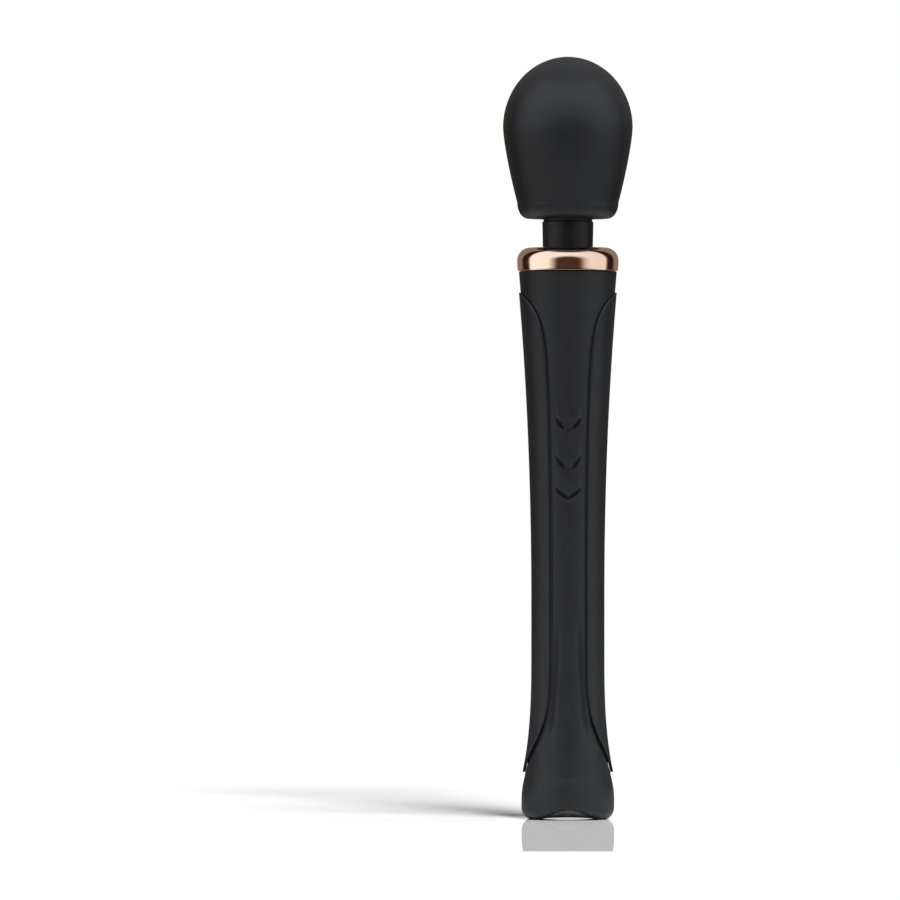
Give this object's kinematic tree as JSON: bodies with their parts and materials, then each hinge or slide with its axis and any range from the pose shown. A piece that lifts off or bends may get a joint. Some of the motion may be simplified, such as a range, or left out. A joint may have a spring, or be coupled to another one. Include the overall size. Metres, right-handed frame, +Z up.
{
  "type": "handheld wand massager",
  "caption": "Cordless handheld wand massager with a soft round head on a flexible neck, a polished metal collar and a waisted silicone handle that stands on its base.",
  "frame": {"origin": "centre of the footprint, on the surface the base stands on", "axes": "+Z up along the wand's axis towards the head, -Y towards the side with the buttons, +X to the right seen from the buttons"},
  "size_m": [0.0572, 0.0572, 0.3352],
  "materials": {
    "soft_black": "matte silicone",
    "grip_black": "matte silicone",
    "rose_gold": "polished rose-gold anodised",
    "end_cap_grey": "satin",
    "casing_plastic": "moulded",
    "white_plastic": "moulded",
    "steel": "zinc plated",
    "motor_steel": "nickel plated",
    "brass": "sintered",
    "gold_contact": "gold plated",
    "magnet_grey": "sintered",
    "board_green": "solder mask",
    "chip_black": "moulded",
    "cell_blue": "shrink sleeve",
    "seal_rubber": "matte",
    "wire_red": "insulation",
    "wire_black": "insulation"
  },
  "bodies": {
    "handle": {"handle_skin": "soft_black", "left_grip": "grip_black", "right_grip": "grip_black", "front_shell": "casing_plastic", "rear_shell": "casing_plastic", "shell_screw_left": "steel", "shell_screw_right": "steel", "down_switch": "chip_black", "power_switch": "chip_black", "up_switch": "chip_black", "control_board": "board_green", "board_screw_lower": "steel", "board_screw_upper": "steel", "control_chip": "chip_black", "battery_cell_lower": "cell_blue", "battery_cell_upper": "cell_blue", "battery_contact_lower": "steel", "battery_contact_upper": "steel", "battery_cradle": "white_plastic", "battery_lead_negative": "wire_black", "battery_lead_positive": "wire_red", "charge_lead": "wire_red", "handle_lead": "wire_black", "end_cap": "end_cap_grey", "charging_contact_left": "gold_contact", "charging_contact_right": "gold_contact", "charging_magnet_left": "magnet_grey", "charging_magnet_right": "magnet_grey", "end_cap_screw_front": "steel", "end_cap_screw_rear": "steel", "collar_ring": "rose_gold", "top_cap": "casing_plastic", "top_cap_screw_1": "steel", "top_cap_screw_2": "steel", "neck_anchor_lower": "steel", "neck_nut_lower": "steel"},
    "neck_link": {"neck_sleeve": "soft_black", "neck_spring": "steel", "neck_lead": "wire_black"},
    "head": {"head_cover": "soft_black", "head_shell_lower": "casing_plastic", "head_shell_upper": "casing_plastic", "neck_anchor_upper": "steel", "neck_nut_upper": "steel", "motor_sleeve": "seal_rubber", "motor_can": "motor_steel", "motor_end_plate": "white_plastic", "motor_bracket": "steel", "bracket_screw_1": "steel", "bracket_screw_2": "steel", "shaft_bearing": "brass"},
    "motor_rotor": {"motor_armature": "magnet_grey", "motor_shaft": "steel", "eccentric_weight": "steel"},
    "down_key": {"down_button": "soft_black", "down_switch_plunger": "white_plastic"},
    "power_key": {"power_button": "soft_black", "power_switch_plunger": "white_plastic"},
    "up_key": {"up_button": "soft_black", "up_switch_plunger": "white_plastic"}
  },
  "joints": [
    {"name": "neck_side_bend", "type": "hinge", "parent": "handle", "child": "neck_link", "pos_m": [0, 0, 0.2535], "axis": [0, 1, 0], "range_deg": [-20, 20], "stiffness_Nm_per_rad": 2.5, "deforming": ["neck_sleeve", "neck_spring", "neck_lead"]},
    {"name": "neck_fore_bend", "type": "hinge", "parent": "neck_link", "child": "head", "pos_m": [0, 0, 0.2615], "axis": [1, 0, 0], "range_deg": [-20, 20], "stiffness_Nm_per_rad": 2.5},
    {"name": "motor_spin", "type": "hinge", "parent": "head", "child": "motor_rotor", "pos_m": [0, 0, 0.2915], "axis": [0, 0, 1], "continuous": true},
    {"name": "down_button_press", "type": "slide", "parent": "handle", "child": "down_key", "axis": [0, 1, 0], "range_m": [0, 0.0006], "stiffness_N_per_m": 800, "springref_m": -0.0005},
    {"name": "power_button_press", "type": "slide", "parent": "handle", "child": "power_key", "axis": [0, 1, 0], "range_m": [0, 0.0006], "stiffness_N_per_m": 800, "springref_m": -0.0005},
    {"name": "up_button_press", "type": "slide", "parent": "handle", "child": "up_key", "axis": [0, 1, 0], "range_m": [0, 0.0006], "stiffness_N_per_m": 800, "springref_m": -0.0005}
  ]
}
